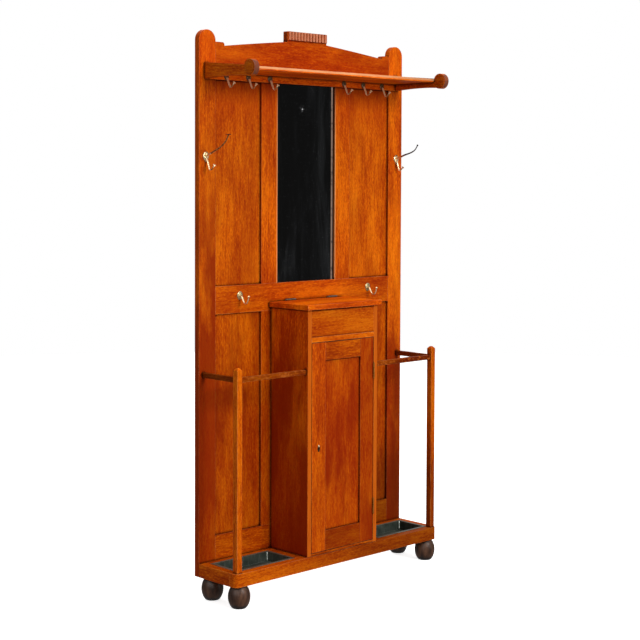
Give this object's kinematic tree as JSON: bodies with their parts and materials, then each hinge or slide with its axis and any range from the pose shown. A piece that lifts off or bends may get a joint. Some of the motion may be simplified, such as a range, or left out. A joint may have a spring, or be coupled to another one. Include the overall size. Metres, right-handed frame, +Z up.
{
  "type": "hall tree with hooks",
  "caption": "Oak hall tree with mirror, hat shelf, coat hooks, a lidded glove box over a small cupboard, and umbrella bays with drip trays.",
  "frame": {"origin": "bottom centre of the whole stand's box, on the floor", "axes": "+Z up, +X to the right of someone facing the stand, +Y from the front towards the wall"},
  "size_m": [1.006, 0.281, 1.97],
  "materials": {
    "oak": "golden oak, polished varnish",
    "walnut": "dark stained turned wood, waxed",
    "brass": "aged brass, worn bright on the edges",
    "steel": "dull, darkened steel",
    "zinc": "dark green grey, worn at the folds",
    "mirror": "silvered glass"
  },
  "bodies": {
    "stand": {"upper_panel_left": "oak", "upper_panel_right": "oak", "lower_panel_left": "oak", "lower_panel_right": "oak", "lower_panel_centre": "oak", "post_left": "oak", "post_right": "oak", "top_rail": "oak", "mid_rail": "oak", "bottom_rail": "oak", "muntin_left": "oak", "muntin_right": "oak", "crest_cap": "oak", "shelf_bracket_left": "oak", "shelf_bracket_right": "oak", "hat_shelf": "oak", "hook_rail": "oak", "base_front_rail": "oak", "base_back_rail": "oak", "base_end_rail_left": "oak", "base_end_rail_right": "oak", "cabinet_floor": "oak", "cabinet_side_left": "oak", "cabinet_side_right": "oak", "glove_box_floor": "oak", "glove_box_front": "oak", "umbrella_post_left": "oak", "umbrella_post_right": "oak", "umbrella_side_rail_left": "oak", "umbrella_side_rail_right": "oak", "umbrella_front_rail_left": "oak", "umbrella_front_rail_right": "oak", "mirror_glass": "mirror", "door_hinge_upper": "brass", "door_hinge_lower": "brass", "rail_hook_left_inner": "brass", "rail_hook_left_middle": "brass", "rail_hook_left_outer": "brass", "rail_hook_right_inner": "brass", "rail_hook_right_middle": "brass", "rail_hook_right_outer": "brass", "mid_hook_left": "brass", "mid_hook_right": "brass", "coat_hook_left": "brass", "coat_hook_right": "brass", "lid_hinge_left": "steel", "lid_hinge_right": "steel", "ball_foot_front_left": "walnut", "ball_foot_front_right": "walnut", "ball_foot_back_left": "walnut", "ball_foot_back_right": "walnut"},
    "door": {"door_stile_hinge": "oak", "door_stile_lock": "oak", "door_rail_top": "oak", "door_rail_bottom": "oak", "door_panel": "oak"},
    "bolt": {"lock_bolt": "brass"},
    "lid": {"glove_box_lid": "oak"},
    "tray_left": {"drip_tray_left": "zinc"},
    "tray_right": {"drip_tray_right": "zinc"}
  },
  "joints": [
    {"name": "door_swing", "type": "hinge", "parent": "stand", "child": "door", "pos_m": [0.1538, -0.0775, 0.5], "axis": [0, 0, 1], "range_deg": [0, 170]},
    {"name": "lock_slide", "type": "slide", "parent": "door", "child": "bolt", "axis": [-1, 0, 0], "range_m": [0, 0.008]},
    {"name": "lid_lift", "type": "hinge", "parent": "stand", "child": "lid", "pos_m": [0, 0.1151, 1.0093], "axis": [-1, 0, 0], "range_deg": [0, 90]},
    {"name": "tray_lift_left", "type": "slide", "parent": "stand", "child": "tray_left", "axis": [0, 0, 1], "range_m": [0, 0.1]},
    {"name": "tray_lift_right", "type": "slide", "parent": "stand", "child": "tray_right", "axis": [0, 0, 1], "range_m": [0, 0.1]}
  ]
}
